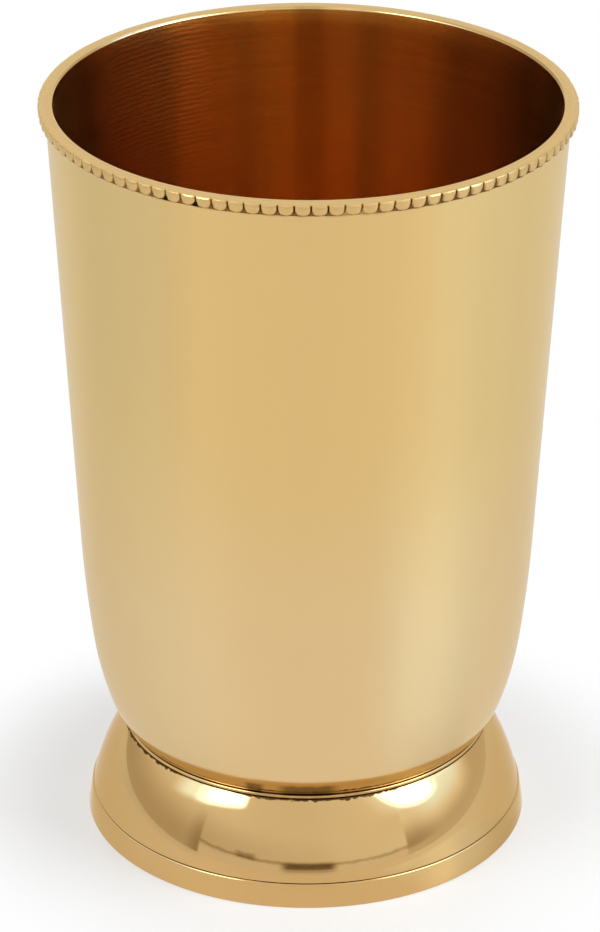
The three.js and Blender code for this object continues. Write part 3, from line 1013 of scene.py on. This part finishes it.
cream_far = fade(angle, -70.0, -55.0) * fade(angle, 62.0, 46.0)
cream_near = (0.35 + 0.55 * fade(angle, -72.0, -12.0)) * fade(angle, 56.0, 22.0)
cream_near = cream_near + 0.35 * fade(angle, 66.0, 84.0)
cream = glossy_ray * (far * cream_far + (1 - far) * cream_near)
dim = 0.14 * fade(angle, -48.0, -62.0) * fade(angle, -130.0, -105.0)
dim = dim + 0.06 * fade(angle, 56.0, 70.0) * fade(angle, 130.0, 105.0)
dim = glossy_ray * dim * fade(radius, 110 * MM, 200 * MM)
lamplit = fade(angle, 28.0, 44.0) * fade(angle, 88.0, 72.0) * (1 - far)

sockets = {"Base Color": TABLE_PAINT, "Roughness": 0.34, "Specular IOR Level": 0.4}
shaded = paint.node("ShaderNodeBsdfPrincipled", sockets=sockets)
white = tint(paint, cream, WHITE, CREAM)
white = tint(paint, dim, white, BLACK)
glow = paint.node("ShaderNodeEmission", sockets={"Color": white, "Strength": 1.0})
near_foot = 0.4 + 0.6 * fade(radius, 38 * MM, 64 * MM)
share = near_foot * camera_ray + (TABLE_GLOW - 0.62 * lamplit) * glossy_ray + TABLE_GLOW * glass_ray
mixed = paint.node("ShaderNodeMixShader", sockets={0: share, 1: shaded, 2: glow})
paint.node("ShaderNodeOutputMaterial", sockets={"Surface": mixed})
print("table_white:", len(table_white.node_tree.nodes), "nodes")

# %% [markdown]
# The table is one large square, so large that its edge is out of the picture. The room is the world
# background, which needs no walls. The same three masks tell it whether it is being looked at or is giving
# light.

# %% Table and white room
mesh = bpy.data.meshes.new("table")
corners = [(-1, -1), (1, -1), (1, 1), (-1, 1)]
mesh.from_pydata([(TABLE_HALF * i, TABLE_HALF * j, 0) for i, j in corners], [], [(0, 1, 2, 3)])
mesh.materials.append(table_white)
table = bpy.data.objects.new("table", mesh)
bpy.context.scene.collection.objects.link(table)

white_room = bpy.data.worlds.new("white_room")
bpy.context.scene.world = white_room
white_room.use_nodes = True
white_room.node_tree.nodes.clear()
paint = Wire(white_room.node_tree)
camera_ray, glossy_ray, glass_ray = seen_directly(paint)
strength = 0.35 + 0.65 * (camera_ray + glossy_ray + glass_ray)
sky = paint.node("ShaderNodeBackground", sockets={"Color": WHITE, "Strength": strength})
paint.node("ShaderNodeOutputWorld", sockets={"Surface": sky})
print("table and room ready")

# %% [markdown]
# ## The studio in front
# A mirror-bright foot in a plain white room would look like pale paper. A photographer gives it something
# to reflect: here a curved screen stands round the cup, with a pale panel in front, greyer gaps at its
# sides, a dark slot above the table and two bright softboxes. Only reflections see it. Its brightness is
# written as a rule on the angle round the cup and on the rise over the table, both in degrees. Grey places
# are a little warmer than white ones, as in most rooms, and the half-bright rims of the softboxes are a
# little cooler.

# %% Panel and gaps
SCREEN_DISTANCE = 0.95
SCREEN_HEIGHT = 1.15
PANEL_MIDDLE = -1.5
PANEL_EDGE, GAP_EDGE = 54.2, 55.4

front_screen, paint = new_finish("front_screen")
place, x, y, z, radius = surface_place(paint)
angle = angle_round(paint, x, y)
rise = paint.math("ARCTANGENT", z / SCREEN_DISTANCE) * (180 / math.pi)
side = paint.math("ABSOLUTE", angle - PANEL_MIDDLE)
gap = fade(side, PANEL_EDGE, GAP_EDGE)
right = fade(angle, -5.0, 5.0)

stripe = fade(angle, -66.0, -57.0) * fade(rise, 26.0, 8.0)
left_gap = (0.65 + 0.5 * fade(rise, 3.0, 27.0)) * (1 - 0.3 * stripe)
towards_lamp = fade(angle, 58.0, 78.0)
glow = fade(rise, 4.0, 19.5) * fade(angle, 114.0, 94.0) * (0.65 + 0.35 * towards_lamp)
right_gap = 0.58 + 0.22 * towards_lamp + glow
low = right * fade(rise, 3.8, 2.0)
beside = right * right_gap + (1 - right) * left_gap
beside = beside * (1 - low) + 0.82 * low

slope = 0.0024 * angle * fade(rise, 24.0, 8.0) * fade(rise, 3.0, 5.5)
panel = 0.92 + slope + 0.07 * fade(rise, 8.0, 22.0)
panel = panel + 0.07 * fade(side, 20.0, 45.0) * fade(rise, 15.0, 27.0) + 0.05 * fade(angle, 0.0, 25.0)
light = gap * beside + (1 - gap) * panel
print("screen rule:", len(front_screen.node_tree.nodes), "nodes so far")

# %% [markdown]
# The dark marks are what a mirror shows of the low part of a room: a slot in front, where the photographer
# stands, a thin sill on the panel and a smudge at the left. Noise makes the sill and the smudge uneven. The
# softboxes are far brighter than white, as lamps are. The right one is an oval with a faint halo, and the
# left one has a slanted lower edge.

# %% Slot, sill and softboxes
SILL_RISE = 5.1
SLOT_MIDDLE = 1.5
SMUDGE_ANGLE, SMUDGE_RISE = -31.0, 6.3
RIGHT_BOX_ANGLE, RIGHT_BOX_RISE = 76, 42
RIGHT_BOX_HALF_WIDTH, RIGHT_BOX_HALF_HEIGHT = 32, 22.5
SOFTBOX_LIGHT = 4.6

ragged = cloud(paint, place, 0.05, 3.0)
sill_rise = paint.math("ABSOLUTE", rise - SILL_RISE + 0.016 * angle + 1.8 * (ragged - 0.5))
sill = fade(sill_rise, 1.1, 0.3) * (1 - gap)
slot = spot_at(angle, SLOT_MIDDLE, 16.0, 10.0) * fade(rise, 7.0, 4.2)
slot = slot * (0.4 + 0.6 * fade(rise, 1.9, 2.7)) * fade(rise, 0.1, 1.2)
smudge_rise = paint.math("ABSOLUTE", rise - SMUDGE_RISE + 2.0 * (ragged - 0.5))
smudge = spot_at(angle, SMUDGE_ANGLE, 7.0, 3.0) * fade(smudge_rise, 2.2, 1.0)
light = light * (1 - 0.36 * sill) * (1 - 0.75 * slot) * (1 - 0.42 * smudge)

left_box = fade(rise - 0.27 * angle, 37.8, 41.8) * fade(angle, -86.0, -72.0) * fade(angle, -35.0, -40.0)
reach = ((angle - RIGHT_BOX_ANGLE) / RIGHT_BOX_HALF_WIDTH) ** 2
reach = reach + ((rise - RIGHT_BOX_RISE) / RIGHT_BOX_HALF_HEIGHT) ** 2
right_box = fade(reach, 1.2, 0.9) * fade(angle, 85.0, 75.0)
right_box = right_box + 0.07 * fade(reach, 1.9, 1.0) * fade(rise, 19.0, 24.0)
light = light + left_box * (0.9 + SOFTBOX_LIGHT * fade(angle, -70.0, -56.0)) + SOFTBOX_LIGHT * right_box

grey = paint.math("MINIMUM", light, 1.0)
cool = fade(light, 1.0, 1.8) * fade(light, 3.9, 2.5)
red = light * (1 - 0.23 * cool)
green = light * grey**0.2
blue = light * grey**0.5 * (1 + 0.38 * cool)
shade = paint.node("ShaderNodeCombineColor", sockets={0: red, 1: green, 2: blue})
glow = paint.node("ShaderNodeEmission", sockets={"Color": shade, "Strength": 1.0})
paint.node("ShaderNodeOutputMaterial", sockets={"Surface": glow})
front_screen.cycles.emission_sampling = "NONE"
print("screen rule:", len(front_screen.node_tree.nodes), "nodes")

# %% [markdown]
# The screen itself is a strip of upright faces on part of a circle round the cup. It is open behind, where
# the foot mirrors the plain white room. It doesn't light anything: only rays that come from a reflection
# meet it.

# %% Bend the screen
SCREEN_END = 144
SCREEN_STEP = 3

work = bmesh.new()
previous = None
for degrees in range(-SCREEN_END, SCREEN_END + 1, SCREEN_STEP):
    turn_to = math.radians(degrees)
    spot = (SCREEN_DISTANCE * math.sin(turn_to), -SCREEN_DISTANCE * math.cos(turn_to))
    column = [work.verts.new(spot + (0.0,)), work.verts.new(spot + (SCREEN_HEIGHT,))]
    if previous:
        work.faces.new((previous[0], previous[1], column[1], column[0]))
    previous = column
mesh = bpy.data.meshes.new("screen_in_front")
work.to_mesh(mesh)
work.free()
mesh.materials.append(front_screen)
screen = bpy.data.objects.new("screen_in_front", mesh)
bpy.context.scene.collection.objects.link(screen)
for rays in ("camera", "diffuse", "transmission", "volume_scatter", "shadow"):
    setattr(screen, "visible_" + rays, False)
print("screen:", len(mesh.polygons), "faces")

# %% [markdown]
# ## Two lamps
# The screen only shows in reflections, so two square lamps stand where its softboxes are and light the white
# table. They give the cup its soft shadow. Reflections skip them, because the painted softboxes have softer
# edges. A lamp's power goes with its area, so the brightness of its face is what is written.


# %% Lamps
LAMP_RISE = 40
LAMP_DISTANCE = 0.78
LAMP_AIM = Vector((0, 0, 0.02))


def lamp_on_stand(name, angle, size, brightness):
    """A square lamp that faces the cup, at an angle round it, 0 in front and positive to the right."""
    lamp = bpy.data.lights.new(name, "AREA")
    lamp.shape = "SQUARE"
    lamp.size = size
    lamp.energy = math.pi * size**2 * brightness
    stand = bpy.data.objects.new(name, lamp)
    around, up = math.radians(angle), math.radians(LAMP_RISE)
    stand.location = (
        LAMP_DISTANCE * math.sin(around) * math.cos(up),
        -LAMP_DISTANCE * math.cos(around) * math.cos(up),
        LAMP_DISTANCE * math.sin(up),
    )
    stand.rotation_euler = (LAMP_AIM - stand.location).to_track_quat("-Z", "Y").to_euler()
    stand.visible_camera = False
    stand.visible_glossy = False
    bpy.context.scene.collection.objects.link(stand)
    print(name, [round(c, 3) for c in stand.location], round(lamp.energy, 2), "W")


lamp_on_stand("lamp_left", angle=-59, size=0.42, brightness=4.4)
lamp_on_stand("lamp_right", angle=70, size=0.50, brightness=5.2)

# %% [markdown]
# ## The camera
# The picture was taken with a long lens from above the rim, so the mouth is an open ellipse. The camera is
# turned a sixth of a degree about its own axis, because the cup leans that much in the picture. Light has to
# bounce many times before it leaves the inside of the cup, so the limits on bounces go up.

# %% Camera
CAMERA_PLACE = (-0.00108, -0.6675, 0.3881)
CAMERA_DIP = 26.303
CAMERA_ROLL = 0.17
FOCAL_LENGTH = 187.7
SENSOR = 36
BOUNCES = 24
MIRROR_BOUNCES = 20

lens = bpy.data.cameras.new("camera")
lens.sensor_width = SENSOR
lens.lens = FOCAL_LENGTH
camera = bpy.data.objects.new("camera", lens)
pitch = Matrix.Rotation(math.radians(90 - CAMERA_DIP), 3, "X")
camera.rotation_euler = (pitch @ Matrix.Rotation(math.radians(CAMERA_ROLL), 3, "Z")).to_euler()
camera.location = CAMERA_PLACE
bpy.context.scene.collection.objects.link(camera)
bpy.context.scene.camera = camera
bpy.context.scene.view_settings.view_transform = "Standard"
bpy.context.scene.cycles.max_bounces = BOUNCES
bpy.context.scene.cycles.glossy_bounces = MIRROR_BOUNCES
print("camera at", [round(c, 3) for c in camera.location])
